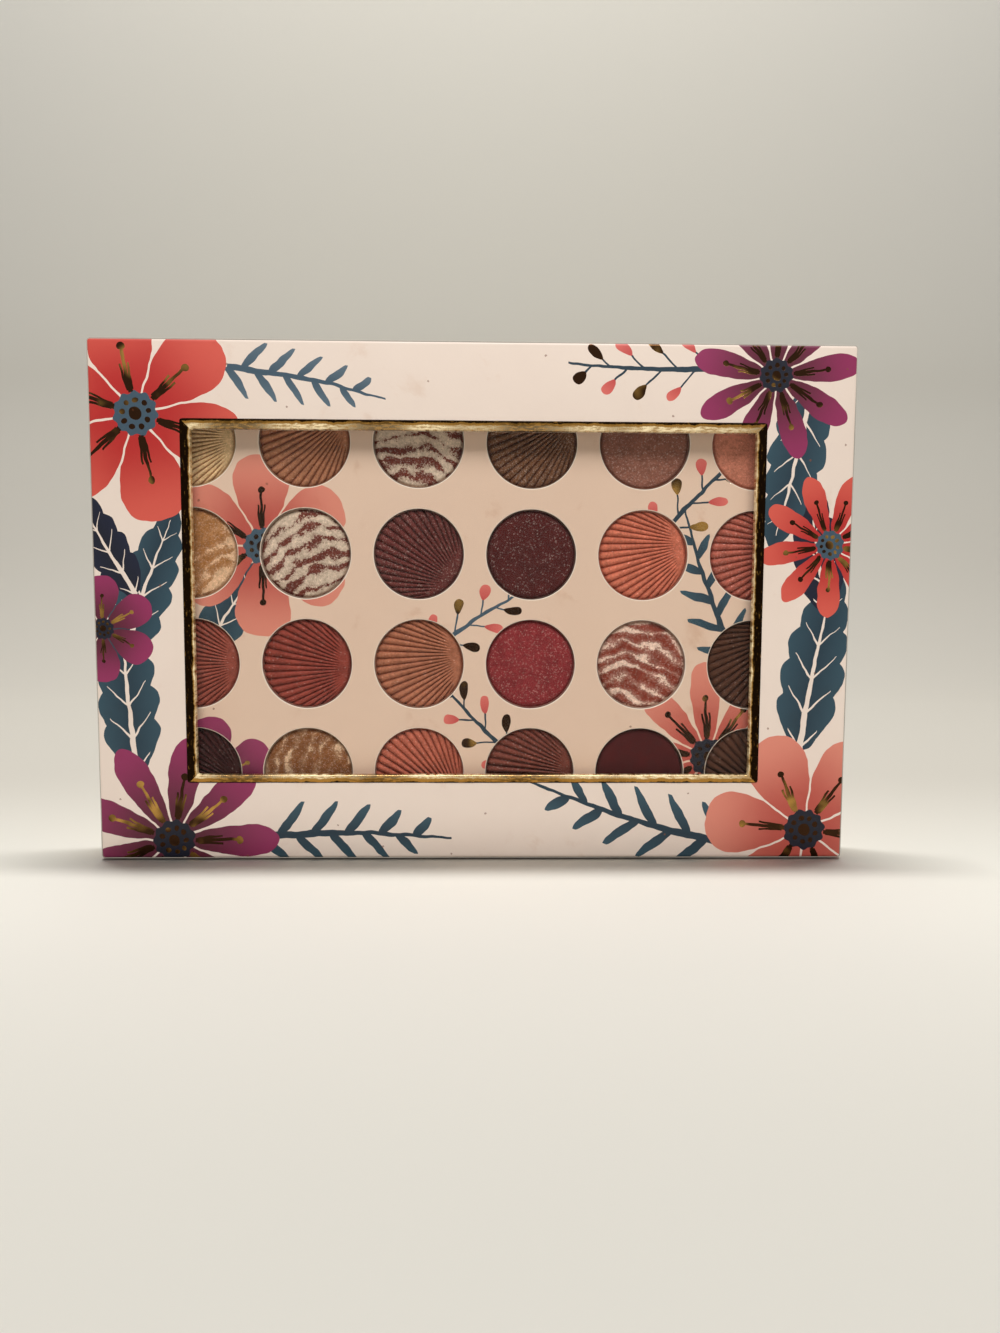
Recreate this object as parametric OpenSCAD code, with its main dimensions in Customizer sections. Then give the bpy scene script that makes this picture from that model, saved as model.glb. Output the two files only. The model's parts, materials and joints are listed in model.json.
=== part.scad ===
// Book-style eyeshadow palette, standing upright on its front edge.
// X is the width, Y runs from the lid's face (-Y) to the back cover (+Y), Z is up.
// The origin is the middle of the footprint. The lid turns about the top edge.

/* [Cover] */
// Overall width of the lid and back cover
cover_w = 219; // [197:1:260]
// Overall height of the palette standing on its front edge
cover_h = 150; // [135:1:190]
// Corner radius of the lid and back cover
corner_r = 1.2; // [0.6:0.1:4]
// Thickness of the greyboard in lid, spine and back
board_t = 2; // [1.6:0.1:3]
// Thickness of the printed paper wrap
wrap_t = 0.2; // [0.1:0.05:0.4]
// Width of wrap turned in onto the inside of a board
turn_in = 14; // [8:1:16]
// Thickness of the liner inside the lid
liner_t = 0.6; // [0.5:0.05:1.2]
// Margin from the edge of the lid to its liner
liner_inset = 3; // [1:0.5:6]
// How far the covers stand out past the tray at each side
overhang = 0.8; // [0.3:0.1:3]
// How far the closed lid stays clear of what the palette stands on
lid_lift = 0.3; // [0.2:0.05:1]

/* [Window] */
// Width of the lid's frame at the left and right of the clear opening
border_x = 27.5; // [22:0.5:45]
// Width of the lid's frame above and below the clear opening
border_z = 25; // [22:0.5:40]
// Width of the gold edging on the face of the lid
edging_w = 1; // [0.5:0.1:3]
// Thickness of the clear film behind the opening
film_t = 0.3; // [0.15:0.05:0.4]
// Width of the glued margin of the film
film_margin = 5; // [3:0.5:6]

/* [Tray] */
// Thickness of the four tray walls
wall_t = 2; // [1.5:0.1:3]
// Depth from the rim of the tray to the printed card
rim_lip = 1.6; // [0.8:0.1:4]
// Thickness of the printed card with the holes
card_t = 0.4; // [0.2:0.05:1]
// Thickness of the platform that holds the pans
platform_t = 3; // [2.4:0.1:5]
// Thickness of the card that the pans are glued to
base_card_t = 0.5; // [0.3:0.1:1.5]
// Height of the hollow held open by the ribs
rib_h = 3; // [1.5:0.1:8]
// Width of each support rib
rib_w = 6; // [3:0.5:10]
// Thickness of the tray floor
floor_t = 1.5; // [1:0.1:3]
// Length of each leg of the corner tapes
tape_leg = 9; // [5:0.5:12]
// Thickness of the corner tapes
tape_t = 0.25; // [0.1:0.05:0.5]

/* [Pans] */
// Number of pans across
pan_cols = 6; // [4:1:6]
// Number of rows of pans
pan_rows = 4; // [3:1:4]
// Distance from the left and right tray walls to the nearest holes
grid_margin_x = 11; // [6:0.5:18]
// Distance from the upper and lower tray walls to the nearest holes
grid_margin_z = 10; // [6:0.5:13]
// Outer diameter of a metal pan
pan_d = 26; // [22:0.1:28]
// Height of a metal pan
pan_h = 2.8; // [2:0.1:2.8]
// Sheet thickness of a metal pan
pan_wall = 0.3; // [0.2:0.05:0.6]
// Thickness of the glue dot under each pan
glue_t = 0.15; // [0.1:0.05:0.2]
// Diameter of the glue dot under each pan
glue_d = 10; // [4:1:18]

/* [Powder] */
// Depth of the pressed ground below the rim of the pan
powder_recess = 0.5; // [0.2:0.05:1]
// Height of the raised ribs on a shell pressing
shell_h = 0.45; // [0.2:0.05:0.6]
// Number of ribs on a shell pressing
shell_ribs = 21; // [9:1:25]
// Angle that the ribs of a shell pressing fan out over
shell_spread = 150; // [90:5:160]
// Width of the sloping edge of a smooth pressing
smooth_slope = 1.2; // [0.4:0.1:3]
// Height of the crown of a smooth pressing
smooth_h = 0.3; // [0.1:0.05:0.6]

/* [Closure] */
// Diameter of the closure magnets
magnet_d = 8; // [5:0.5:9]
// Thickness of the closure magnets
magnet_t = 1; // [0.6:0.1:1.5]
// Distance from the platform's lower edge to a magnet pocket
magnet_margin = 1; // [0.5:0.1:3]

/* [Clearances] */
// Gap between the closed lid and the rim of the tray
lid_gap = 0.3; // [0.2:0.05:1]
// Gap between the sheets in the tray and its walls
sheet_gap = 0.3; // [0.2:0.05:0.6]
// Gap round a pan in the platform
pan_gap = 0.2; // [0.1:0.05:0.4]
// How much wider the holes of the printed card are than those of the platform
card_relief = 0.05; // [0.05:0.05:0.3]
// Gap round a magnet in its pocket
magnet_gap = 0.1; // [0.05:0.05:0.3]
// Slit between two neighbouring sides of the tray wrap
mitre_slit = 0.04; // [0.02:0.01:0.2]

/* [Hidden] */
// Stations along Y, from the lid's face to the back cover's face
depth = 3 * wrap_t + 2 * board_t + liner_t + lid_gap + rim_lip + card_t + platform_t
    + base_card_t + rib_h + floor_t;
y_face = -depth / 2;
y_lid_board = y_face + wrap_t;
y_lid_inner = y_lid_board + board_t;
y_lid_back = y_lid_inner + liner_t;
y_rim = y_lid_back + lid_gap;
y_card = y_rim + rim_lip;
y_platform = y_card + card_t;
y_base_card = y_platform + platform_t;
y_hollow = y_base_card + base_card_t;
y_floor = y_hollow + rib_h;
y_tray_back = y_floor + floor_t;
y_back_board = y_tray_back + wrap_t;
y_back_wrap = y_back_board + board_t;
y_end = y_back_wrap + wrap_t;

// Sizes of the boards, the spine and the tray
board_w = cover_w - 2 * wrap_t;
board_r = corner_r - wrap_t;
board_top = cover_h - wrap_t;
lid_board_bottom = lid_lift + wrap_t;
tray_w = cover_w - 2 * overhang;
spine_bottom = board_top - board_t;
tray_top = spine_bottom - wrap_t;
skin_w = tray_w - 2 * wrap_t;
inner_w = skin_w - 2 * wall_t;
rim_w = wall_t + 2 * wrap_t;
inner_bottom = wrap_t + wall_t;
inner_top = tray_top - wrap_t - wall_t;
sheet_w = inner_w - 2 * sheet_gap;
sheet_bottom = inner_bottom + sheet_gap;
sheet_top = inner_top - sheet_gap;

// Window and the thickness of its gold edging
window_w = cover_w - 2 * border_x;
window_h = cover_h - 2 * border_z;
window_z = cover_h / 2;
edging_t = wrap_t;

// Pans and their grid, spread between the tray walls
hole_d = pan_d + 2 * pan_gap;
card_hole_d = hole_d + 2 * card_relief;
grid_z = (inner_bottom + inner_top) / 2;
pitch_x = (inner_w - 2 * grid_margin_x - hole_d) / (pan_cols - 1);
pitch_z = (inner_top - inner_bottom - 2 * grid_margin_z - hole_d) / (pan_rows - 1);
y_pan_back = y_base_card - glue_t;
y_pan_rim = y_pan_back - pan_h;
powder_d = pan_d - 2 * pan_wall;
y_powder_back = y_pan_back - pan_wall;
y_powder = y_pan_rim + powder_recess;

// Magnets sit between the outer two columns, below the last row
magnet_x = (pan_cols / 2 - 1) * pitch_x;
magnet_pocket_d = magnet_d + 2 * magnet_gap;
magnet_z = sheet_bottom + magnet_margin + magnet_pocket_d / 2;
y_lid_magnet = y_lid_inner - magnet_t;

// Shape of a shell pressing: ribs fan out from a point close to the rim
fan_centre = 0.43 * powder_d;
fan_start = 0.15 * powder_d;
rib_share = 0.66;
shell_edge = 0.4;
rib_root = 0.2;

// Kind of pressing in each pan, from the top row down
pressings = [
    ["shell", "shell", "marble", "shell", "smooth", "smooth"],
    ["marble", "marble", "shell", "smooth", "shell", "shell"],
    ["shell", "shell", "shell", "smooth", "marble", "shell"],
    ["shell", "marble", "shell", "shell", "smooth", "shell"]
];

// Direction in which the ribs of each shell come together
fan_turns = [
    [-10, 30, 0, 30, 0, 0],
    [0, 0, -35, 0, -5, -5],
    [0, 0, 0, 0, 0, 35],
    [0, 0, -35, 0, 0, 5]
];

// Colour of each powder
powder_colors = [
    ["tan", "rosybrown", "lightgray", "saddlebrown", "indianred", "lightsalmon"],
    ["peru", "gainsboro", "brown", "maroon", "salmon", "rosybrown"],
    ["brown", "firebrick", "burlywood", "palevioletred", "sienna", "saddlebrown"],
    ["maroon", "peru", "rosybrown", "sienna", "darkred", "saddlebrown"]
];

round_fn = 64;

// Centre of a pan, counted from the top left
function pan_x(col) = (col - (pan_cols + 1) / 2) * pitch_x;
function pan_z(row) = grid_z - (row - (pan_rows + 1) / 2) * pitch_z;

// Turns an outline drawn in X and Z into a sheet from y0 to y1
module upright(y0, y1) {
    translate([0, y1, 0])
        rotate([90, 0, 0])
            linear_extrude(height = y1 - y0)
                children();
}

// Plain box between two heights, centred on X
module slab(w, z0, z1, y0, y1) {
    translate([-w / 2, y0, z0]) cube([w, y1 - y0, z1 - z0]);
}

// Disc or peg lying along Y
module disc(x, z, d, y0, y1) {
    translate([x, y1, z])
        rotate([90, 0, 0])
            cylinder(d = d, h = y1 - y0, $fn = round_fn);
}

// Sheet with four rounded corners
module rounded_slab(w, z0, z1, r, y0, y1) {
    slab(w, z0 + r, z1 - r, y0, y1);
    slab(w - 2 * r, z0, z1, y0, y1);
    for (side = [-1, 1], z = [z0 + r, z1 - r])
        disc(side * (w / 2 - r), z, 2 * r, y0, y1);
}

// Opening cut through the lid, grown by a margin on each side
module window_cut(margin, y0, y1) {
    slab(window_w + 2 * margin, window_z - window_h / 2 - margin,
        window_z + window_h / 2 + margin, y0, y1);
}

// Paper wrap of one cover: face, edges and three turned-in margins
module cover_wrap(z0, y_outer, y_board0, y_board1, y_inner) {
    y_low = min(y_outer, y_inner);
    y_high = max(y_outer, y_inner);
    y_turn = y_inner > y_outer ? y_board1 : y_board0;
    difference() {
        rounded_slab(cover_w, z0, cover_h, corner_r, y_low, y_high);
        rounded_slab(board_w, z0 + wrap_t, board_top, board_r, y_board0, y_board1);
        // The middle of the inside stays bare, and so does the hinge side
        slab(board_w - 2 * turn_in, z0 + wrap_t + turn_in, cover_h + 1,
            min(y_turn, y_inner), max(y_turn, y_inner));
    }
}

// Two discs or pockets, one at each end of the opening edge
module magnet_pair(d, y0, y1) {
    for (side = [-1, 1])
        disc(side * magnet_x, magnet_z, d, y0, y1);
}

// The parts of the lid
module lid_board() {
    color("silver")
        difference() {
            rounded_slab(board_w, lid_board_bottom, board_top, board_r, y_lid_board, y_lid_inner);
            window_cut(edging_t, y_lid_board - 1, y_lid_inner + 1);
            magnet_pair(magnet_pocket_d, y_lid_magnet, y_lid_inner + 1);
        }
}

module lid_wrap() {
    color("mistyrose")
        difference() {
            cover_wrap(lid_lift, y_face, y_lid_board, y_lid_inner, y_lid_inner + wrap_t);
            window_cut(edging_w, y_face - 1, y_lid_board);
        }
}

module window_edging() {
    color("goldenrod")
        difference() {
            union() {
                window_cut(edging_w, y_face, y_lid_board);
                window_cut(edging_t, y_lid_board, y_lid_inner);
            }
            window_cut(0, y_face - 1, y_lid_inner + 1);
        }
}

module window_film() {
    color("lightcyan", 0.3)
        window_cut(film_margin, y_lid_inner, y_lid_inner + film_t);
}

module lid_liner() {
    color("linen")
        difference() {
            slab(cover_w - 2 * liner_inset, lid_lift + liner_inset, cover_h - liner_inset,
                y_lid_inner, y_lid_back);
            window_cut(0, y_lid_inner - 1, y_lid_back + 1);
            window_cut(film_margin, y_lid_inner - 1, y_lid_inner + film_t);
            difference() {
                slab(cover_w, 0, cover_h, y_lid_inner - 1, y_lid_inner + wrap_t);
                slab(board_w - 2 * turn_in, lid_board_bottom + turn_in, cover_h + 1,
                    y_lid_inner - 2, y_lid_inner + wrap_t + 1);
            }
        }
}

module lid_magnets() {
    color("dimgray") magnet_pair(magnet_d, y_lid_magnet, y_lid_inner);
}

// The parts of the back cover and the spine
module back_board() {
    color("silver")
        rounded_slab(board_w, wrap_t, board_top, board_r, y_back_board, y_back_wrap);
}

module back_wrap() {
    color("mistyrose")
        cover_wrap(0, y_end, y_back_board, y_back_wrap, y_tray_back);
}

module back_liner() {
    color("linen")
        slab(board_w - 2 * turn_in, wrap_t + turn_in, board_top, y_tray_back, y_back_board);
}

module spine_board() {
    color("silver")
        slab(skin_w, spine_bottom, board_top, y_rim + wrap_t, y_tray_back);
}

module spine_wrap() {
    color("mistyrose")
        difference() {
            slab(tray_w, spine_bottom, cover_h, y_rim, y_tray_back);
            slab(skin_w, spine_bottom - 1, board_top, y_rim - 1, y_tray_back + 1);
        }
}

module hinge_fold() {
    color("mistyrose")
        slab(skin_w, spine_bottom, board_top, y_rim, y_rim + wrap_t);
}

module hinge_liner() {
    color("linen")
        slab(tray_w, tray_top, spine_bottom, y_rim, y_tray_back);
}

// The parts of the tray
module tray_wall_upright(side) {
    color("silver")
        translate([side > 0 ? inner_w / 2 : -skin_w / 2, y_rim + wrap_t, wrap_t])
            cube([wall_t, y_tray_back - y_rim - wrap_t, tray_top - 2 * wrap_t]);
}

module tray_wall_level(z0) {
    color("silver")
        slab(inner_w, z0, z0 + wall_t, y_rim + wrap_t, y_tray_back);
}

module tray_floor() {
    color("silver")
        slab(inner_w, inner_bottom, inner_top, y_floor, y_tray_back);
}

module corner_tapes() {
    color("wheat")
        for (side = [-1, 1], end = [0, 1])
            translate([side * inner_w / 2, y_hollow, end == 0 ? inner_bottom : inner_top])
                scale([-side, 1, end == 0 ? 1 : -1]) {
                    cube([tape_leg, rib_h, tape_t]);
                    cube([tape_t, rib_h, tape_leg]);
                }
}

// One side of the tray wrap: outer face, rim and the lip down to the printed card,
// with mitred ends that leave a fine slit at each corner
module wrap_side(length) {
    half = length / 2 - mitre_slit;
    intersection() {
        translate([-length / 2, y_rim, 0]) {
            cube([length, y_tray_back - y_rim, wrap_t]);
            cube([length, wrap_t, rim_w]);
            translate([0, 0, rim_w - wrap_t]) cube([length, rim_lip, wrap_t]);
        }
        upright(y_rim, y_tray_back)
            polygon([[-half, 0], [half, 0], [half - rim_w, rim_w], [rim_w - half, rim_w]]);
    }
}

module tray_wrap() {
    color("mistyrose")
        for (turn = [0:90:270])
            translate([0, 0, tray_top / 2])
                rotate([0, turn, 0])
                    translate([0, 0, -(turn % 180 == 0 ? tray_top : tray_w) / 2])
                        wrap_side(turn % 180 == 0 ? tray_w : tray_top);
}

module support_ribs() {
    rib_len = inner_w - 2 * (tape_leg + sheet_gap);
    color("silver")
        for (row = [0:pan_rows]) {
            z = grid_z - (row - pan_rows / 2) * pitch_z;
            slab(rib_len, z - rib_w / 2, z + rib_w / 2, y_hollow, y_floor);
        }
}

module base_card() {
    color("gainsboro") slab(sheet_w, sheet_bottom, sheet_top, y_base_card, y_hollow);
}

// One disc or hole for every pan
module at_pans() {
    for (row = [1:pan_rows], col = [1:pan_cols])
        translate([pan_x(col), 0, pan_z(row)]) children();
}

module glue_dots() {
    color("ivory") at_pans() disc(0, 0, glue_d, y_pan_back, y_base_card);
}

module pan_platform() {
    color("gainsboro")
        difference() {
            slab(sheet_w, sheet_bottom, sheet_top, y_platform, y_base_card);
            at_pans() disc(0, 0, hole_d, y_platform - 1, y_base_card + 1);
            magnet_pair(magnet_pocket_d, y_platform - 1, y_platform + magnet_t);
        }
}

module tray_magnets() {
    color("dimgray") magnet_pair(magnet_d, y_platform, y_platform + magnet_t);
}

module pan_card() {
    color("peachpuff")
        difference() {
            slab(sheet_w, sheet_bottom, sheet_top, y_card, y_platform);
            at_pans() disc(0, 0, card_hole_d, y_card - 1, y_platform + 1);
        }
}

// A row of metal pans, each a shallow cup open towards the lid
module pans_row(row) {
    color("lightgray")
        for (col = [1:pan_cols])
            difference() {
                disc(pan_x(col), pan_z(row), pan_d, y_pan_rim, y_pan_back);
                disc(pan_x(col), pan_z(row), powder_d, y_pan_rim - 1, y_powder_back);
            }
}

// Raised rib of a shell pressing, as a wedge with its tip at the origin
module shell_rib(angle) {
    reach = powder_d;
    half = rib_share * shell_spread / shell_ribs / 2;
    rotate(angle)
        polygon([
            [fan_start * cos(half), fan_start * sin(half)],
            [reach * cos(half), reach * sin(half)],
            [reach * cos(half), -reach * sin(half)],
            [fan_start * cos(half), -fan_start * sin(half)]
        ]);
}

// Shell pressing: ribs that fan out from a point near the rim
module shell_relief(turn) {
    intersection() {
        disc(0, 0, powder_d - 2 * shell_edge, y_powder - shell_h, y_powder + rib_root);
        rotate([0, -turn, 0])
            translate([fan_centre, 0, 0])
                upright(y_powder - shell_h, y_powder + rib_root)
                    for (i = [0:shell_ribs - 1])
                        shell_rib(180 + ((i + 0.5) / shell_ribs - 0.5) * shell_spread);
    }
}

// Smooth pressing: a low crown with a sloping edge
module smooth_relief() {
    translate([0, y_powder, 0])
        rotate([90, 0, 0])
            cylinder(d1 = powder_d, d2 = powder_d - 2 * smooth_slope, h = smooth_h,
                $fn = round_fn);
}

module powder(row, col) {
    color(powder_colors[row - 1][col - 1])
        translate([pan_x(col), 0, pan_z(row)]) {
            disc(0, 0, powder_d, y_powder, y_powder_back);
            if (pressings[row - 1][col - 1] == "shell")
                shell_relief(fan_turns[row - 1][col - 1]);
            else
                smooth_relief();
        }
}

lid_board();
lid_wrap();
window_edging();
window_film();
lid_liner();
lid_magnets();
back_board();
back_wrap();
back_liner();
spine_board();
spine_wrap();
hinge_fold();
hinge_liner();
tray_wall_upright(-1);  // tray_wall_left
tray_wall_upright(1);  // tray_wall_right
tray_wall_level(inner_top);  // tray_wall_top
tray_wall_level(wrap_t);  // tray_wall_bottom
tray_floor();
corner_tapes();
tray_wrap();
support_ribs();
base_card();
glue_dots();
pan_platform();
tray_magnets();
pan_card();
for (row = [1:pan_rows])
    pans_row(row);
for (row = [1:pan_rows], col = [1:pan_cols])
    powder(row, col);
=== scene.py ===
import math
from functools import partialmethod

import bmesh
import bpy
from mathutils import Matrix, Vector
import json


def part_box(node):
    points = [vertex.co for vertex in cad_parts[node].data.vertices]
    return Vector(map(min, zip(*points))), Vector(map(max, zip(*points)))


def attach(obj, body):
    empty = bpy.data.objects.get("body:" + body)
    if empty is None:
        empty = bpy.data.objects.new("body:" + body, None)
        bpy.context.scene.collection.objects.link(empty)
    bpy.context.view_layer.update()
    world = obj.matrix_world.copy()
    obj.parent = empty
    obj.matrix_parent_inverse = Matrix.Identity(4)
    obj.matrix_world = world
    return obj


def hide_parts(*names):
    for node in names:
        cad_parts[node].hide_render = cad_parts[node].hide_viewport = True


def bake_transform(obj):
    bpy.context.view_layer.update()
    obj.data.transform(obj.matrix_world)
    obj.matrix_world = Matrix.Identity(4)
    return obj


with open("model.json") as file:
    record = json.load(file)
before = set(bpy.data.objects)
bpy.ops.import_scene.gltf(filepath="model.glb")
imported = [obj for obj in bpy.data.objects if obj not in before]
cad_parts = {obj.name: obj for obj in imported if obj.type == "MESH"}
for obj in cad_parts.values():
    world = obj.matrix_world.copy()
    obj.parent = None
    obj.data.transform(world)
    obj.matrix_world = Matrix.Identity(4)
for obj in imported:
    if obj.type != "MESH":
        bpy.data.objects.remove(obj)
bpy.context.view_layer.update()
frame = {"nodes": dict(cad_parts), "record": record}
mm = 0.001
hair = 0.00001
print("stage: frame loaded")


def closeEdit():
    bpy.ops.object.mode_set(mode="OBJECT")


def clearSelection():
    if bpy.context.object and bpy.context.object.mode != "OBJECT":
        closeEdit()
    bpy.ops.object.select_all(action="DESELECT")


def makeActive(piece):
    clearSelection()
    piece.select_set(True)
    bpy.context.view_layer.objects.active = piece


def openForEdit(piece):
    makeActive(piece)
    bpy.ops.object.mode_set(mode="EDIT")


def selectAll():
    bpy.ops.mesh.select_all(action="SELECT")


def extrude(*shift):
    bpy.ops.mesh.extrude_region_move(TRANSFORM_OT_translate={"value": shift})


def pointOutwards():
    selectAll()
    bpy.ops.mesh.normals_make_consistent(inside=False)


def pick(kind, test):
    bpy.ops.mesh.select_mode(type=kind)
    bpy.ops.mesh.select_all(action="DESELECT")
    shape = bmesh.from_edit_mesh(bpy.context.object.data)
    for item in {"VERT": shape.verts, "EDGE": shape.edges, "FACE": shape.faces}[kind]:
        item.select_set(bool(test(item)))
    shape.select_flush_mode()
    bmesh.update_edit_mesh(bpy.context.object.data)


def dropFaces(test):
    pick("FACE", test)
    bpy.ops.mesh.delete(type="FACE")


def bevelEdges(test, offset, segments):
    pick("EDGE", test)
    bpy.ops.mesh.bevel(offset=offset, segments=segments)


def allAt(item, axis, value):
    return all(abs(v.co[axis] - value) < hair for v in item.verts)


def runsAlong(edge, axis):
    way = edge.verts[1].co - edge.verts[0].co
    return abs(way[axis]) > 0.999 * way.length


def settle(piece):
    makeActive(piece)
    bpy.ops.object.transform_apply(location=True, rotation=True, scale=True)


def addBlock(name, low, high):
    clearSelection()
    low, high = Vector(low), Vector(high)
    bpy.ops.mesh.primitive_cube_add(size=1, location=(low + high) / 2)
    piece = bpy.context.object
    piece.name = name
    piece.scale = high - low
    settle(piece)
    return piece


def addFacing(add, centre, depth, scale=(1, 1), **settings):
    # a flat primitive turned to face the front
    clearSelection()
    add(location=(centre.x, depth, centre.z), rotation=(math.pi / 2, 0, 0), **settings)
    piece = bpy.context.object
    piece.scale = (*scale, 1)
    settle(piece)
    return piece


def applyModifier(piece, kind, **settings):
    makeActive(piece)
    modifier = piece.modifiers.new(kind.title(), kind)
    for name, value in settings.items():
        setattr(modifier, name, value)
    bpy.ops.object.modifier_apply(modifier=modifier.name)


def smoothByAngle(piece, degrees=35):
    makeActive(piece)
    bpy.ops.object.shade_smooth_by_angle(angle=math.radians(degrees))


def cutAt(axis, value):
    selectAll()
    place, normal = Vector(), Vector()
    place[axis], normal[axis] = value, 1
    bpy.ops.mesh.bisect(plane_co=place, plane_no=normal)


def copyPiece(piece, name, shift):
    twin = piece.copy()
    twin.data = piece.data.copy()
    twin.data.transform(Matrix.Translation(shift))
    twin.name = name
    bpy.context.scene.collection.objects.link(twin)
    return twin


def joinPieces(pieces, name):
    clearSelection()
    for piece in pieces:
        piece.select_set(True)
    bpy.context.view_layer.objects.active = pieces[0]
    bpy.ops.object.join()
    pieces[0].name = name
    return pieces[0]


def turnProfile(name, centre, profile, steps):
    # a round piece: a disc drawn out from one (radius, y) station to the next
    radius, depth = profile[0]
    piece = addFacing(bpy.ops.mesh.primitive_circle_add, centre, depth, vertices=steps,
                      radius=radius, fill_type="NGON")
    piece.name = name
    openForEdit(piece)
    selectAll()
    for station in profile[1:]:
        extrude(0, station[1] - depth, 0)
        grow = station[0] / radius
        if abs(grow - 1) > 1e-6:
            bpy.ops.transform.resize(
                value=(grow, 1, grow), center_override=(centre.x, station[1], centre.z))
        radius, depth = station
    pointOutwards()
    closeEdit()
    return piece


def join(tree, value, socket):
    if isinstance(value, Signal):
        value = value.socket
    if isinstance(value, bpy.types.NodeSocket):
        tree.links.new(value, socket)
    else:
        socket.default_value = value


def addNode(tree, kind, inputs=None, **settings):
    node = tree.nodes.new("ShaderNode" + kind)
    for name, value in settings.items():
        setattr(node, name, value)
    for name, value in (inputs or {}).items():
        join(tree, value, node.inputs[name])
    return node


def feed(tree, node, **values):
    for label, value in values.items():
        join(tree, value, node.inputs[label.replace("_", " ")])


class Signal:
    # one number that changes over a surface, which can be added, multiplied and compared

    def __init__(self, tree, socket):
        self.tree = tree
        self.socket = socket

    def calc(self, operation, *others):
        node = addNode(self.tree, "Math", operation=operation)
        for socket, value in zip(node.inputs, (self, *others)):
            join(self.tree, value, socket)
        return Signal(self.tree, node.outputs[0])

    def flipped(self):
        return self * -1.0 + 1.0


for method, operation in {
        "__add__": "ADD", "__sub__": "SUBTRACT", "__mul__": "MULTIPLY", "__truediv__": "DIVIDE",
        "__mod__": "FLOORED_MODULO", "__pow__": "POWER", "__lt__": "LESS_THAN",
        "__gt__": "GREATER_THAN", "__abs__": "ABSOLUTE", "upTo": "MINIMUM", "atLeast": "MAXIMUM",
        "root": "SQRT", "sine": "SINE", "cosine": "COSINE"}.items():
    setattr(Signal, method, partialmethod(Signal.calc, operation))


def ramp(tree, value, low, high, start=0.0, end=1.0):
    node = addNode(tree, "MapRange", {"Value": value, "From Min": low, "From Max": high,
                                      "To Min": start, "To Max": end},
                   interpolation_type="SMOOTHSTEP")
    return Signal(tree, node.outputs["Result"])


def noise(tree, place, scale, detail=3.0, roughness=0.5, distortion=0.0):
    node = addNode(tree, "TexNoise", {"Vector": place, "Scale": scale, "Detail": detail,
                                      "Roughness": roughness, "Distortion": distortion})
    return Signal(tree, node.outputs[0])


def mixColors(tree, factor, first, second, blend="MIX"):
    node = addNode(tree, "Mix", data_type="RGBA", blend_type=blend)
    for index, value in ((0, factor), (6, first), (7, second)):
        join(tree, value, node.inputs[index])
    return node.outputs[2]


def split(tree, vector):
    node = addNode(tree, "SeparateXYZ", {"Vector": vector})
    return [Signal(tree, node.outputs[i]) for i in range(3)]


def combine(tree, x, y, z=0.0):
    return addNode(tree, "CombineXYZ", {"X": x, "Y": y, "Z": z}).outputs[0]


def newGroup(name, inputs, outputs):
    # an input with no number to start from is a vector, and all that comes out is a number
    group = bpy.data.node_groups.new(name, "ShaderNodeTree")
    for label, value in inputs.items():
        socket = group.interface.new_socket(
            name=label, in_out="INPUT",
            socket_type="NodeSocketVector" if value is None else "NodeSocketFloat")
        if value is not None:
            socket.default_value = value
    for label in outputs:
        group.interface.new_socket(name=label, in_out="OUTPUT", socket_type="NodeSocketFloat")
    source = group.nodes.new("NodeGroupInput").outputs
    given = {label: Signal(group, source[label]) for label in inputs}
    return group, given, group.nodes.new("NodeGroupOutput")


def useGroup(tree, group, **values):
    node = addNode(tree, "Group", node_tree=group)
    feed(tree, node, **values)
    return {socket.name: Signal(tree, socket) for socket in node.outputs}


def rgb(red, green, blue):
    def linear(value):
        value /= 255
        return value / 12.92 if value <= 0.04045 else ((value + 0.055) / 1.055) ** 2.4

    return (linear(red), linear(green), linear(blue), 1.0)


def newMaterial(name, **settings):
    material = bpy.data.materials.new(name)
    material.use_nodes = True
    tree = material.node_tree
    shader = tree.nodes["Principled BSDF"]
    feed(tree, shader, **settings)
    return material, tree, shader


def objectPlace(tree):
    return addNode(tree, "TexCoord").outputs["Object"]


def shiftedPlace(tree, place, shift, turn, size=1):
    return addNode(tree, "Mapping", {"Vector": place, "Location": shift, "Rotation": turn,
                                     "Scale": (size, size, 1)}, vector_type="TEXTURE").outputs[0]


def addBump(tree, shader, height, distance, strength=1.0):
    bump = addNode(tree, "Bump", {"Height": height, "Distance": distance, "Strength": strength})
    feed(tree, shader, Normal=bump.outputs[0])


cameraSetup = {"place": (0.0005, -0.30125, 0.0839), "pitch": -5.15, "yaw": 1.34, "roll": 0.29,
               "lens": 27.33, "sensor": 36, "nearest": 0.01}
stageSetup = {
    "width": 4.0, "front": -1.6, "back": 0.62, "height": 1.8, "sweep": 0.26,
    # painted shade: the sweep is painted darker towards the camera and at the bend and lighter up
    # the wall, standing for the lamps' falloff
    "shadedFrontFloor": rgb(231, 229, 221), "floor": rgb(250, 248, 240), "bend": rgb(214, 210, 201),
    "wall": rgb(232, 229, 220), "side": rgb(232, 230, 223),
    # from where to where one colour goes over into the next: in depth, in height and sideways
    "near": (-0.19, -0.02), "fade": (-0.09, 0.13), "rise": (0.08, 0.34), "flank": (0.1, 0.6),
    "world": (1.0, 0.985, 0.955, 1.0), "worldPower": 0.12, "seenPower": 0.62,
}
lamps = {
    "overhead": {"place": (0.01, 0.115, 1.5), "aim": (0, 0.03, 0), "size": (0.6, 0.1),
                 "power": 17.5, "color": (1.0, 0.985, 0.965), "floor": "INCLUDE"},
    "front": {"place": (0.03, -0.56, 0.98), "aim": (0, 0, 0.075), "size": (0.6, 0.46),
              "power": 11.0, "color": (1.0, 0.985, 0.965), "floor": "EXCLUDE"},
}


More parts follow.
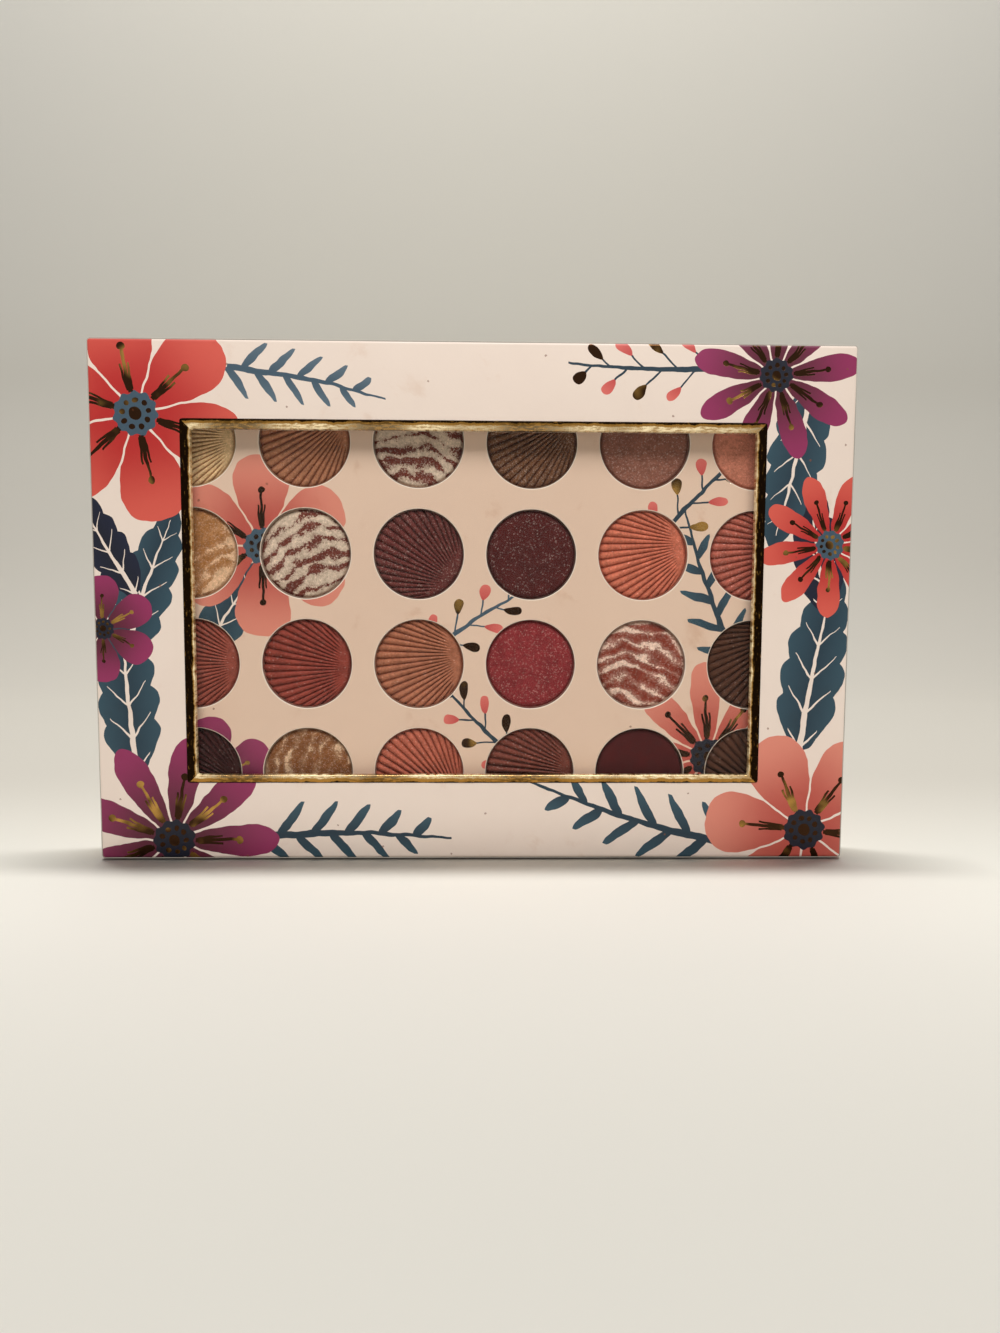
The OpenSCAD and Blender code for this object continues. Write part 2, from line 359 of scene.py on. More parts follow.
def addCamera(setup):
    clearSelection()
    bpy.ops.object.camera_add(location=setup["place"])
    camera = bpy.context.object
    camera.name = "productCamera"
    turn = (Matrix.Rotation(-math.radians(setup["yaw"]), 3, "Z")
            @ Matrix.Rotation(math.radians(90 + setup["pitch"]), 3, "X")
            @ Matrix.Rotation(math.radians(setup["roll"]), 3, "Z"))
    camera.rotation_euler = turn.to_euler()
    camera.data.lens = setup["lens"]
    camera.data.sensor_width = setup["sensor"]
    camera.data.clip_start = setup["nearest"]
    bpy.context.scene.camera = camera


def addLamp(name, setup):
    clearSelection()
    bpy.ops.object.light_add(type="AREA", location=setup["place"])
    lamp = bpy.context.object
    lamp.name = name
    way = Vector(setup["aim"]) - Vector(setup["place"])
    lamp.rotation_euler = way.to_track_quat("-Z", "Y").to_euler()
    lamp.data.shape = "RECTANGLE"
    lamp.data.size, lamp.data.size_y = setup["size"]
    lamp.data.energy = setup["power"]
    lamp.data.color = setup["color"]
    # the overhead lamp lights the floor alone, and the front one all but the floor
    reach = bpy.data.collections.new(name + "Reach")
    reach.objects.link(bpy.data.objects["studioSweep"])
    reach.collection_objects[0].light_linking.link_state = setup["floor"]
    lamp.light_linking.receiver_collection = reach


def addSweep(setup):
    # floor and wall in one sheet, with a wide bend between them
    clearSelection()
    front, back = setup["front"], setup["back"]
    bpy.ops.mesh.primitive_plane_add(size=1, location=(0, (back + front) / 2, 0))
    sweep = bpy.context.object
    sweep.name = "studioSweep"
    sweep.scale = (setup["width"], back - front, 1)
    settle(sweep)
    openForEdit(sweep)
    pick("EDGE", lambda e: allAt(e, 1, back))
    extrude(0, 0, setup["height"])
    bevelEdges(lambda e: allAt(e, 1, back) and allAt(e, 2, 0), setup["sweep"], 24)
    closeEdit()
    bpy.ops.object.shade_smooth()
    material, tree, shader = newMaterial("studioPaper", Roughness=0.9, Specular_IOR_Level=0.15)
    across, deep, high = split(tree, objectPlace(tree))
    rise = ramp(tree, high, *setup["rise"])
    # painted shade: darker towards the camera and at the bend than on the floor behind and up the
    # wall
    color = mixColors(tree, ramp(tree, deep, *setup["near"]), setup["shadedFrontFloor"], setup["floor"])
    color = mixColors(tree, ramp(tree, deep, *setup["fade"]), color, setup["bend"])
    color = mixColors(tree, rise, color, setup["wall"])
    flank = ramp(tree, abs(across), *setup["flank"]) * rise
    feed(tree, shader, Base_Color=mixColors(tree, flank, color, setup["side"]))
    sweep.data.materials.append(material)


def setScene():
    scene = bpy.context.scene
    scene.view_settings.view_transform = "Standard"
    scene.world = scene.world or bpy.data.worlds.new("studio")
    scene.world.use_nodes = True
    tree = scene.world.node_tree
    path = addNode(tree, "LightPath").outputs
    seen = Signal(tree, path["Is Camera Ray"]).atLeast(path["Is Glossy Ray"]).atLeast(
        path["Is Transmission Ray"])
    power = seen * (stageSetup["seenPower"] - stageSetup["worldPower"]) + stageSetup["worldPower"]
    feed(tree, tree.nodes["Background"], Color=stageSetup["world"], Strength=power)
    addSweep(stageSetup)
    for name, setup in lamps.items():
        addLamp(name, setup)
    addCamera(cameraSetup)


setScene()
print("stage: camera, lamps and sweep ready")


def buildPaperGrain():
    # fibre relief, mottling, and rubbed or dusty spots of any coated paper
    group, given, sink = newGroup("paperGrain", {"Vector": None, "Scale": 1.0, "Soil": 0.5},
                                  ["Tone", "Height", "Soil", "Specks"])
    place, scale = given["Vector"], given["Scale"]
    cloud = noise(group, place, scale * 22.0, 4.0, 0.6)
    fibre = noise(group, place, scale * 900.0, 4.0, 0.65)
    soil = ramp(group, noise(group, place, scale * 85.0, 5.0, 0.6, 0.3), 0.6, 0.76)
    cells = addNode(group, "TexVoronoi", {"Vector": place, "Scale": scale * 300.0}).outputs
    luck, size, _ = split(group, cells["Color"])
    ragged = noise(group, place, scale * 2600.0, 2.0, 0.6) * 0.16 - 0.04
    speck = (Signal(group, cells["Distance"]) + ragged < size * 0.16 + 0.03) * (luck > 0.9)
    feed(group, sink, Tone=cloud, Height=fibre, Soil=soil * given["Soil"],
         Specks=speck * (given["Soil"] * 2.0).upTo(1.0))
    return group


paperGrain = buildPaperGrain()


def plainMaterial(name, color, dark, scale, relief, roughness, metallic=0.0):
    # a surface of one stuff with mottling and relief: board, liner, tape, glue, magnet
    material, tree, shader = newMaterial(name, Metallic=metallic)
    grain = useGroup(tree, paperGrain, Vector=objectPlace(tree), Scale=scale, Soil=0.7)
    base = mixColors(tree, ramp(tree, grain["Tone"], 0.3, 0.7), color, dark)
    feed(tree, shader, Base_Color=mixColors(tree, grain["Soil"] * 0.5, base, dark),
         Roughness=ramp(tree, grain["Height"], 0.3, 0.7, roughness - 0.06, roughness + 0.06))
    addBump(tree, shader, grain["Height"], relief * mm)
    return material


sheet = {"face": -7.75, "depth": 15.5, "height": 150.0, "wobble": 1.2}
inks = {   # deep and light
    "paper": rgb(242, 225, 212), "teal": (rgb(30, 52, 66), rgb(54, 84, 98)),
    "navy": (rgb(6, 10, 30), rgb(16, 24, 52)), "plum": (rgb(88, 26, 46), rgb(146, 46, 92)),
    "coral": (rgb(184, 40, 38), rgb(218, 92, 78)), "peach": (rgb(188, 82, 70), rgb(226, 140, 120)),
    "rose": (rgb(196, 74, 72), rgb(226, 116, 106)), "slate": (rgb(62, 84, 100), rgb(92, 112, 126)),
    # the foil's deep colour is a painted dark reflection, its light colour the gold
    "foil": (rgb(58, 38, 24), rgb(190, 146, 76)),
}


def buildSheetPlace():
    # where a point of the folded wrap lies on the flat sheet, in millimetres
    group, _, sink = newGroup("sheetPlace", {}, ["Across", "Up"])
    coords = addNode(group, "TexCoord").outputs
    x, y, z = (value * 1000.0 for value in split(group, coords["Object"]))
    nx, ny, nz = split(group, coords["Normal"])
    deep = y - sheet["face"]
    back = ny > 0.5
    u = x + deep * ((nx > 0.7) - (nx < -0.7))
    v = (z + deep * ((nz > 0.7) - (nz < -0.7))) * back.flipped() + (
        z * -1.0 + (2 * sheet["height"] + sheet["depth"])) * back
    wobble = addNode(group, "TexNoise", {"Vector": combine(group, u, v), "Scale": 0.22,
                                         "Detail": 1.0})
    du, dv, _ = split(group, wobble.outputs["Color"])
    feed(group, sink, Across=u + (du - 0.5) * sheet["wobble"],
         Up=v + (dv - 0.5) * sheet["wobble"])
    return group


def buildBlossom():
    # an open flower with pointed petals, foil veins and a dotted heart
    group, given, sink = newGroup(
        "blossom", {"Vector": None, "Petals": 10.0, "Reach": 20.0, "Width": 0.2, "Point": 0.7,
                    "Core": 5.0}, ["Petal", "Shade", "Vein", "Core", "Seed"])
    reach, core = given["Reach"], given["Core"]
    x, y, _ = split(group, given["Vector"])
    r = (x * x + y * y).root()
    angle = y.calc("ARCTAN2", x) + math.pi
    sector = Signal(group, addNode(group, "Math", {0: 2 * math.pi, 1: given["Petals"]},
                                   operation="DIVIDE").outputs[0])
    a = angle % sector - sector * 0.5
    t = r * a.cosine() / reach
    side = abs(r * a.sine())
    edge = r * (sector * 0.5 - abs(a)).sine()
    fall = ((t ** 4.0).flipped().atLeast(0.0)) ** given["Point"]
    half = given["Width"] * reach * (t.atLeast(0.0) ** 0.75) * fall
    thin = t.flipped() * 0.55 + 0.05
    line = (side < thin) * (t > 0.2) * (t < 0.6)
    flank = (abs(side - r * 0.085) < thin * 0.6) * (t > 0.22) * (t < 0.46)
    knob = ((t - 0.62) * reach) ** 2.0 + side * side < 0.6
    dot = angle % (2 * math.pi / 9) - math.pi / 9
    dx, dy = r * dot.cosine() - core * 0.62, r * dot.sine()
    seed = (dx * dx + dy * dy).root() < core * 0.13
    feed(group, sink, Petal=(side < half) * (edge > 0.22), Shade=t,
         Vein=(line + knob + flank).upTo(1.0), Seed=(seed + (r < core * 0.3)).upTo(1.0),
         Core=r < core * ((angle * 11.0).cosine() * 0.06 + 1.0))
    return group


def stemPlace(group, given):
    # folds the plane along a bent stem: how far out, how far up, and the slanted side branches
    x, y, _ = split(group, given["Vector"])
    x = x - given["Bend"] * y * y / given["Length"]
    out = abs(x)
    slanted = y - given["Slant"] * out + (x > 0.0) * given["Pitch"] * 0.5
    step = (slanted / given["Pitch"]).calc("FLOOR") + 0.5
    side = slanted - step * given["Pitch"]
    along = step * given["Pitch"] / given["Length"]
    branch = given["Leaf"] * (along * along).flipped().atLeast(0.01).root()
    grown = (along > 0.06) * (along < 0.97)
    stem = (out < (y / given["Length"]).flipped() * 0.75 + 0.3) * (y > 0.0) * (
        y < given["Length"])
    return out, side, branch, grown, stem, step


stemInputs = {"Vector": None, "Length": 50.0, "Pitch": 9.0, "Leaf": 9.0, "Width": 2.0,
              "Bend": 0.1, "Slant": 0.8}


def buildSprig():
    # a bent stem with pairs of slim leaves
    group, given, sink = newGroup("leafSprig", stemInputs, ["Leaf", "Shade", "Stem"])
    out, side, branch, grown, stem, _ = stemPlace(group, given)
    t = out / branch
    half = given["Width"] * (t.atLeast(0.0) ** 0.45) * (t.flipped().atLeast(0.0) ** 0.7) * 1.3
    feed(group, sink, Leaf=(abs(side) < half + 0.35) * (t < 0.99) * grown, Shade=t, Stem=stem)
    return group


def buildBuds():
    # a bent stem with long buds on thin stalks, every other pair of them foiled
    group, given, sink = newGroup("budSpray", stemInputs, ["Leaf", "Shade", "Foiled", "Stem"])
    out, side, branch, grown, stem, step = stemPlace(group, given)
    slant, width = given["Slant"], given["Width"]
    lean = (slant * slant + 1.0).root()
    dx = out - branch * 0.85
    along = (dx + slant * (side + slant * dx)) / lean
    reach = width * (along * 0.12 + 1.0)
    oval = (along / width / 1.9) ** 2.0 + (side / lean / reach) ** 2.0
    stalk = (abs(side) < 0.42) * (out < branch * 0.85) * grown
    feed(group, sink, Leaf=(oval < 1.0) * grown, Shade=along / width * 0.25 + 0.5,
         Foiled=(step % 2.0) > 1.0, Stem=(stalk + stem).upTo(1.0))
    return group


def buildBroadLeaf():
    # one broad leaf with lobes, a pale midrib and side veins
    group, given, sink = newGroup("broadLeaf", {"Vector": None, "Length": 40.0, "Width": 9.5},
                                  ["Leaf", "Shade", "Vein"])
    x, y, _ = split(group, given["Vector"])
    t = y / given["Length"]
    out = abs(x - (t * t) * 3.0)
    wave = abs(((y - out * 0.8) * (math.pi / 7.6)).sine())
    half = given["Width"] * (t.atLeast(0.0) ** 0.5) * (t.flipped().atLeast(0.0) ** 0.75) * 1.75
    middle = (out < t.flipped() * 0.75) * (t > 0.0) * (t < 0.9)
    rise = (y - out * 1.25) % 7.6
    veins = (rise < (t.flipped() * 0.7 + 0.35) * (out / half).flipped()) * (out < half * 0.66)
    feed(group, sink, Leaf=out < half * (wave * 0.2 + 0.8), Shade=out / given["Width"],
         Vein=(middle + veins).upTo(1.0))
    return group


sheetPlace = buildSheetPlace()
blossom, leafSprig, budSpray, broadLeaf = (
    buildBlossom(), buildSprig(), buildBuds(), buildBroadLeaf())

# kind, place on the sheet (mm), turn, size, ink and second ink; the front cover lies from 0 to
# 150 up the sheet, the back cover from 165 to 315
coverMotifs = [
    ("leaf", -98, 26, 8, 1.25, "teal"), ("leaf", -101, 60, -16, 1.15, "teal"),
    ("leaf", -97, 78, 34, 0.9, "navy"), ("leaf", 96, 33, -6, 1.35, "teal"),
    ("leaf", 103, 74, 14, 1.0, "navy"), ("leaf", 96, 138, 172, 1.2, "teal"),
    ("sprig", -62, 7, -85, 1.1, "teal"),
    ("sprig", 74, 5, 78, 1.2, "teal"), ("sprig", -70, 142, -95, 0.9, "slate"),
    ("buds", 68, 143, 94, 0.9, "teal", "rose"),
    ("rosette", -96, 129, 12, 1.4, "coral", "slate"), ("daisy", -88, 6, 0, 1.4, "plum", "navy"),
    ("rosette", 98, 9, 24, 1.35, "peach", "navy"), ("daisy", 103, 93, 30, 0.95, "coral", "slate"),
    ("daisy", 86, 141, 8, 1.1, "plum", "navy"), ("rosette", -107, 68, 0, 0.7, "plum", "navy"),
    ("leaf", -70, 210, 150, 1.4, "teal"), ("leaf", -46, 212, 110, 1.3, "navy"),
    ("leaf", 70, 268, -30, 1.5, "teal"), ("leaf", 46, 262, 40, 1.3, "teal"),
    ("sprig", -20, 214, 100, 1.3, "teal"), ("sprig", 14, 280, 60, 1.3, "slate"),
    ("buds", 84, 240, 8, 1.2, "teal", "rose"), ("buds", -88, 236, 170, 1.2, "slate", "rose"),
    ("daisy", -82, 210, 0, 1.6, "plum", "navy"), ("rosette", -40, 194, 0, 1.3, "coral", "slate"),
    ("daisy", 80, 288, 0, 1.6, "coral", "slate"), ("rosette", 42, 300, 0, 1.4, "plum", "navy"),
]
cardMotifs = [
    ("leaf", -82, 56, -28, 0.95, "teal"), ("sprig", 79, 56, 26, 1.0, "teal"),
    ("buds", -17, 58, -50, 0.85, "slate", "rose"), ("buds", 50, 90, -38, 0.9, "teal", "rose"),
    ("buds", 17, 25, 50, 0.85, "teal", "rose"), ("rosette", -62, 92, 0, 1.2, "peach", "slate"),
    ("daisy", 70, 30, 14, 1.3, "peach", "navy"), ("rosette", -78, 22, 0, 0.9, "plum", "navy"),
]
motifReach = 60.0
motifForms = {
    "leaf": (broadLeaf, {}), "sprig": (leafSprig, {}),
    "buds": (budSpray, {"Width": 1.55, "Leaf": 9.0, "Pitch": 11.0, "Length": 46.0, "Slant": 1.0}),
    "daisy": (blossom, {"Petals": 9.0, "Reach": 22.0, "Width": 0.24, "Point": 0.6, "Core": 4.2}),
    "rosette": (blossom, {"Petals": 6.0, "Reach": 22.0, "Width": 0.46, "Point": 0.5, "Core": 4.4}),
}


def drawMotif(tree, place, motif, color, foil):
    kind, u, v, turn, size, ink, *second = motif
    group, form = motifForms[kind]
    spot = shiftedPlace(tree, place, (u, v, 0), (0, 0, math.radians(turn)), size)
    parts = useGroup(tree, group, Vector=spot, **form)
    if group == blossom:
        petal, core = parts["Petal"], parts["Core"]
        body = mixColors(tree, ramp(tree, parts["Shade"], 0.2, 1.0), *inks[ink])
        color = mixColors(tree, petal, color, body)
        color = mixColors(tree, core, color, inks[second[0]][0])
        gold = (parts["Vein"] * petal + parts["Seed"]).upTo(1.0)
        return color, foil * petal.flipped() * core.flipped() + gold
    leaf = parts["Leaf"]
    drawn = (parts["Stem"] + leaf).upTo(1.0) if "Stem" in parts else leaf
    foil = foil * drawn.flipped()
    if kind == "buds":
        color = mixColors(tree, parts["Stem"], color, inks[ink][0])
        color = mixColors(tree, leaf, color, mixColors(tree, parts["Shade"], *inks[second[0]]))
        return color, foil + leaf * parts["Foiled"]
    color = mixColors(tree, drawn, color, mixColors(tree, parts["Shade"], *inks[ink]))
    if kind == "leaf":
        color = mixColors(tree, leaf * parts["Vein"], color, inks["paper"])
    return color, foil


wearStyle = {"tint": (0.55, 0.42, 0.36, 1), "soil": (0.72, 0.52, 0.38, 1),
             "speck": rgb(126, 74, 50), "worn": rgb(186, 160, 140),
             # a corner is rubbed bare from this distance, across plus up from the middle
             "middle": 0.075, "rub": 0.0012, "corner": (0.18415, 0.18475)}


def printedPaper(name, motifs, paper, roughness, soil, cut=None):
    material, tree, shader = newMaterial(name, Specular_IOR_Level=0.4)
    wear, sheetSpot = wearStyle, useGroup(tree, sheetPlace)
    place = combine(tree, sheetSpot["Across"], sheetSpot["Up"])
    color, foil = paper, sheetSpot["Up"] < -1000.0   # no foil to start with
    for motif in motifs:
        color, foil = drawMotif(tree, place, motif, color, foil)
    foil = foil.upTo(1.0)
    # painted reflection: the foil print is painted dark brown in broad patches, standing for a
    # dark room mirrored in the metal, and gold elsewhere
    paintedFoilReflection = ramp(tree, noise(tree, place, 0.045, 3.0, 0.6), 0.5, 0.62)
    color = mixColors(tree, foil, color, mixColors(tree, paintedFoilReflection, *inks["foil"]))
    spot = objectPlace(tree)
    grain = useGroup(tree, paperGrain, Vector=spot, Scale=1.0, Soil=soil)
    tone = ramp(tree, grain["Tone"], 0.3, 0.7, 0.0, 0.08)
    color = mixColors(tree, tone, color, wear["tint"], "MULTIPLY")
    color = mixColors(tree, grain["Soil"] * 0.5, color, wear["soil"], "MULTIPLY")
    color = mixColors(tree, grain["Specks"] * 0.7, color, wear["speck"])
    x, _, z = split(tree, spot)
    corner = abs(x) + abs(z - wear["middle"])
    rub = noise(tree, spot, 900.0, 4.0, 0.7) * wear["rub"]
    worn = ramp(tree, corner + rub, *wear["corner"])
    color = mixColors(tree, worn * 0.7, color, wear["worn"])
    if cut:   # the bare core shows where a hole was punched
        _, ny, _ = split(tree, addNode(tree, "TexCoord").outputs["Normal"])
        color = mixColors(tree, abs(ny) < 0.97, color, cut)
    dull = ramp(tree, grain["Tone"], 0.3, 0.7, roughness - 0.05, roughness + 0.07)
    feed(tree, shader, Base_Color=color, Metallic=foil * worn.flipped(),
         Roughness=dull * foil.flipped() + foil * 0.26)
    addBump(tree, shader, grain["Height"] * foil.flipped(), 0.02 * mm)
    return material


def reaching(low, high):
    return [m for m in coverMotifs if low - motifReach < m[2] < high + motifReach]


printedLid = printedPaper("printedLid", reaching(0, 153), inks["paper"], 0.42, 0.45)
printedBack = printedPaper("printedBack", reaching(168, 316), inks["paper"], 0.42, 0.3)
printedSpine = printedPaper("printedSpine", reaching(152, 164), inks["paper"], 0.42, 0.4)
printedCard = printedPaper("printedCard", cardMotifs, rgb(234, 204, 182), 0.5, 0.75,
                           rgb(250, 234, 218))
print("stage: printed papers mixed")

caseStyle = {"cornerRadius": 1.2 * mm, "foldRadius": 1.1 * mm, "paper": 0.2 * mm,
             "turnIn": 14 * mm, "rim": 2.2 * mm, "spineFold": 0.4 * mm, "trayFold": 0.45 * mm}


def givePaper(piece, material):
    # the sheet gets its thickness inwards
    applyModifier(piece, "SOLIDIFY", thickness=caseStyle["paper"], offset=-1)
    smoothByAngle(piece)
    piece.data.materials.append(material)


def foldCover(name, node, outward, window=None):
    # one sheet folded round a cover board: face, four edges and the turned-in margins
    low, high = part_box(node)
    outer, inner = (low.y, high.y) if outward < 0 else (high.y, low.y)
    piece = addBlock(name, low, high)
    openForEdit(piece)
    bevelEdges(lambda e: runsAlong(e, 1), caseStyle["cornerRadius"], 6)
    bevelEdges(lambda e: allAt(e, 1, outer), caseStyle["foldRadius"], 5)
    bevelEdges(lambda e: allAt(e, 1, inner), caseStyle["paper"], 2)
    margin = caseStyle["turnIn"]
    left, right, bottom = low.x + margin, high.x - margin, low.z + margin
    for axis, value in ((0, left), (0, right), (2, bottom)):
        cutAt(axis, value)
    if window:
        for axis in (0, 2):
            for corner in window:
                cutAt(axis, corner[axis])
    dropFaces(lambda f: allAt(f, 1, inner) and left < f.calc_center_median().x < right
              and f.calc_center_median().z > bottom)
    if window:
        dropFaces(lambda f: allAt(f, 1, outer) and all(
            window[0][axis] < f.calc_center_median()[axis] < window[1][axis] for axis in (0, 2)))
    closeEdit()
    return piece


def coverSpine():
    low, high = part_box("spine_wrap")
    piece = addBlock("spineCover", low, high)
    openForEdit(piece)
    bevelEdges(lambda e: (runsAlong(e, 0) and allAt(e, 2, high.z)) or runsAlong(e, 2),
               caseStyle["spineFold"], 4)
    dropFaces(lambda f: allAt(f, 2, low.z))
    closeEdit()
    givePaper(piece, printedSpine)
    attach(piece, "base")
    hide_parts("spine_wrap")


def coverCase():
    lid = foldCover("lidCover", "lid_wrap", -1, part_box("window_edging"))
    givePaper(lid, printedLid)
    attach(lid, "lid")
    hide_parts("lid_wrap")
    back = foldCover("backCover", "back_wrap", 1)
    givePaper(back, printedBack)
    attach(back, "base")
    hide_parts("back_wrap")
    coverSpine()


hingeStyle = {"lidSide": -5.5 * mm, "spineSide": -4.4 * mm, "below": 0.25 * mm, "short": 0.4 * mm,
              "groove": -4.8 * mm, "line": 0.06 * mm, "dip": 0.55 * mm, "spread": 0.45 * mm,
              "paper": 0.15 * mm}


def creaseHinge():
    # the crease of outer paper between lid and spine, pressed into the groove
    style = hingeStyle
    low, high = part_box("spine_wrap")
    clearSelection()
    start, end = style["lidSide"], style["spineSide"]
    bpy.ops.mesh.primitive_grid_add(
        x_subdivisions=40, y_subdivisions=12, size=1,
        location=(0, (start + end) / 2, high.z - style["below"]))
    piece = bpy.context.object
    piece.name = "hingeCrease"
    piece.scale = (high.x - low.x - style["short"], end - start, 1)
    settle(piece)
    openForEdit(piece)
    pick("VERT", lambda v: abs(v.co.y - style["groove"]) < style["line"])
    bpy.ops.transform.translate(
        value=(0, 0, -style["dip"]), use_proportional_edit=True,
        proportional_edit_falloff="SMOOTH", proportional_size=style["spread"])
    closeEdit()
    applyModifier(piece, "SOLIDIFY", thickness=style["paper"], offset=-1)
    bpy.ops.object.shade_smooth()
    piece.data.materials.append(printedSpine)
    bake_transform(piece)


def coverTray():
    # paper round the tray: walls, rim and the inside down to the card
    low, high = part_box("tray_wrap")
    piece = addBlock("trayCover", low, high)
    openForEdit(piece)
    pick("FACE", lambda f: allAt(f, 1, low.y))
    bpy.ops.mesh.inset(thickness=caseStyle["rim"])
    extrude(0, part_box("pan_card")[1].y - low.y, 0)
    bpy.ops.mesh.delete(type="FACE")
    dropFaces(lambda f: allAt(f, 1, high.y))
    closeEdit()
    applyModifier(piece, "BEVEL", width=caseStyle["trayFold"], segments=3, limit_method="ANGLE",
                  angle_limit=math.radians(50))
    givePaper(piece, trayPaper)
    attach(piece, "base")
    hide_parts("tray_wrap")


trayPaper = plainMaterial("trayPaper", rgb(236, 216, 200), rgb(222, 196, 178), 1.0, 0.02, 0.5)
coverCase()
creaseHinge()
coverTray()
print("stage: case papers folded")

edgingStyle = {
    "thickness": 0.16 * mm, "side": 1.95 * mm, "top": 1.0 * mm, "bottom": 1.3 * mm,
    "reach": 2.8 * mm, "bottomRise": 0.55 * mm, "steps": 180, "stepsUp": 109,
    # shares of the way through the cut, to just proud of the face, and of the way over the face
    "through": (0.5, 0.42, 0.125), "over": (0.12, 0.38, 0.5),
    "crinkle": 0.2 * mm, "crinkleSize": 0.0045,
    # the pale colour is a painted highlight, and the dark one a painted reflection of a dark room
    "gold": rgb(180, 132, 62), "pale": rgb(255, 234, 188), "darkReflection": rgb(30, 18, 8),
    # how far out the pale painted highlight at the edge and the painted dark reflection on the rim
    # move at the top and the bottom, in mm
    "middle": 0.1, "ragged": 2.2, "paleTop": 1.2, "paleBottom": 0.7, "darkReflectionTop": 1.65,
    "darkReflectionBottom": 1.45,
}


def foilOpening():
    # the inner edge of the foil, lowest and highest corner
    low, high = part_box("window_edging")
    side = edgingStyle["side"]
    return (low + Vector((side, 0, edgingStyle["bottom"])),
            high - Vector((side, 0, edgingStyle["top"])))


def goldFoilMaterial():
    # painted light and shade: a pale painted highlight where the foil turns over the cut edge, a
    # painted dark reflection on the face, streaked lengthwise
    style = edgingStyle
    material, tree, shader = newMaterial("goldFoil")
    low, high = foilOpening()
    x, _, z = split(tree, objectPlace(tree))
    wide = (abs(x) - high.x) * 1000.0
    tall = (abs(z - (low.z + high.z) / 2) - (high.z - low.z) / 2) * 1000.0
    level = tall > wide
    along = x * level + z * level.flipped()
    across = tall.atLeast(wide)
    line = combine(tree, along, across * 0.0001, level)
    streak = noise(tree, line, 190.0, 5.0, 0.7)
    fleck = noise(tree, combine(tree, along * 0.22, across * 0.001, level), 1900.0, 3.0, 0.6)
    # worn is no wear here: it marks where the pale painted highlight may show, and everywhere on
    # the sides
    worn = ramp(tree, noise(tree, line, 26.0, 2.0), 0.4, 0.56, 0.3, 1.0).atLeast(
        level.flipped() * 0.9)
    upper, lower = level * (z > style["middle"]), level * (z < style["middle"])
    ragged = across + (streak - 0.5) * style["ragged"]
    darkReflection = ramp(tree, ragged - upper * style["darkReflectionTop"] - lower * style["darkReflectionBottom"], 0.3, 0.6)
    pale = ramp(tree, ragged - upper * style["paleTop"] - lower * style["paleBottom"], 0.4, 0.0)
    pale = pale * ramp(tree, fleck, 0.35, 0.6, 0.25, 1.0) * worn
    glint = ramp(tree, fleck, 0.6, 0.7)
    # painted reflection: dark flecks where no highlight shows
    darkReflectionFlecks = worn.flipped() * ramp(tree, fleck, 0.42, 0.52) * 0.9
    dark = (darkReflection * (glint * 0.6).flipped()).atLeast(darkReflectionFlecks)
    color = mixColors(tree, dark, mixColors(tree, pale, style["gold"], style["pale"]),
                      style["darkReflection"])
    feed(tree, shader, Base_Color=color, Metallic=pale.flipped(),
         Roughness=ramp(tree, streak, 0.3, 0.7, 0.16, 0.36))
    addBump(tree, shader, streak * 0.6 + fleck * 0.4, 0.07 * mm)
    return material


def edgeWindow():
    style = edgingStyle
    low, high = foilOpening()
    centre, size = (low + high) / 2, high - low
    piece = addFacing(bpy.ops.mesh.primitive_plane_add, centre, high.y, (size.x, size.z), size=1)
    piece.name = "goldEdging"
    openForEdit(piece)
    selectAll()
    bpy.ops.mesh.delete(type="ONLY_FACE")
    for axis, steps in ((0, style["steps"]), (2, style["stepsUp"])):
        pick("EDGE", lambda e: runsAlong(e, axis))
        bpy.ops.mesh.subdivide(number_cuts=steps)
    selectAll()
    for share in style["through"]:
        extrude(0, (low.y - high.y) * share, 0)
    for share in style["over"]:
        reach = style["reach"] * share
        extrude(0, 0, 0)
        bpy.ops.transform.resize(
            value=((size.x + 2 * reach) / size.x, 1, (size.z + 2 * reach) / size.z),
            center_override=(centre.x, low.y, centre.z))
        size = size + Vector((2, 0, 2)) * reach
    pick("VERT", lambda v: v.co.z < low.z - 0.5 * style["reach"] + hair)
    bpy.ops.transform.translate(value=(0, 0, style["bottomRise"]))
    pointOutwards()
    closeEdit()
    applyModifier(piece, "SOLIDIFY", thickness=style["thickness"], offset=0)
    crinkle = bpy.data.textures.new("foilCrinkle", "CLOUDS")
    crinkle.noise_scale = style["crinkleSize"]
    crinkle.noise_depth = 2
    applyModifier(piece, "DISPLACE", texture=crinkle, strength=style["crinkle"],
                  mid_level=0.5, texture_coords="LOCAL", direction="Y")
    applyModifier(piece, "SUBSURF", levels=1, render_levels=1)
    bpy.ops.object.shade_smooth()
    piece.data.materials.append(goldFoilMaterial())
    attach(piece, "lid")
    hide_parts("window_edging")


edgeWindow()
print("stage: window edged")

rows, columns = 4, 6
cardStyle = {"holeRadius": 13.16 * mm, "steps": 96, "bevel": 0.24 * mm, "weld": 0.01 * mm,
             "tidy": 0.002 * mm}


def powderCentre(row, column):
    low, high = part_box(f"powder_r{row}c{column}")
    return (low + high) / 2


